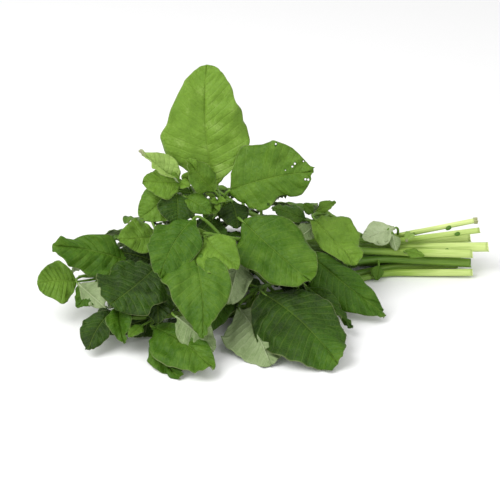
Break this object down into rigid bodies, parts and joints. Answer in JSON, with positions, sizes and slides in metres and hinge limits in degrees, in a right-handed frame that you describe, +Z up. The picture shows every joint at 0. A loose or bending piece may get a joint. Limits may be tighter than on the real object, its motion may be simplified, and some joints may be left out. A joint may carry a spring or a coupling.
{
  "type": "amaranth greens bunch",
  "caption": "Cut bunch of green amaranth lying on its side: leafy stems gathered at bare cut ends, spreading into a mound of broad leaves with one upright shoot.",
  "frame": {"origin": "the flat spot on the underside of the lowest leafy stem, where the bunch rests on the table", "axes": "+X along the bunch towards the cut stem ends, +Y away from the side that the picture shows, +Z up"},
  "size_m": [0.365, 0.2695, 0.1913],
  "materials": {
    "fresh_leafy_green": null
  },
  "bodies": {
    "root": {"leafy_stem_upright": "fresh_leafy_green", "leafy_stem_upright_left": "fresh_leafy_green", "leafy_stem_top_right": "fresh_leafy_green", "leafy_stem_centre": "fresh_leafy_green", "leafy_stem_front_right": "fresh_leafy_green", "leafy_stem_front_low": "fresh_leafy_green", "leafy_stem_left": "fresh_leafy_green", "leafy_stem_table": "fresh_leafy_green", "leafy_stem_back_left": "fresh_leafy_green", "leafy_stem_back": "fresh_leafy_green", "leafy_stem_back_high": "fresh_leafy_green", "leafy_stem_back_right": "fresh_leafy_green"}
  },
  "joints": []
}
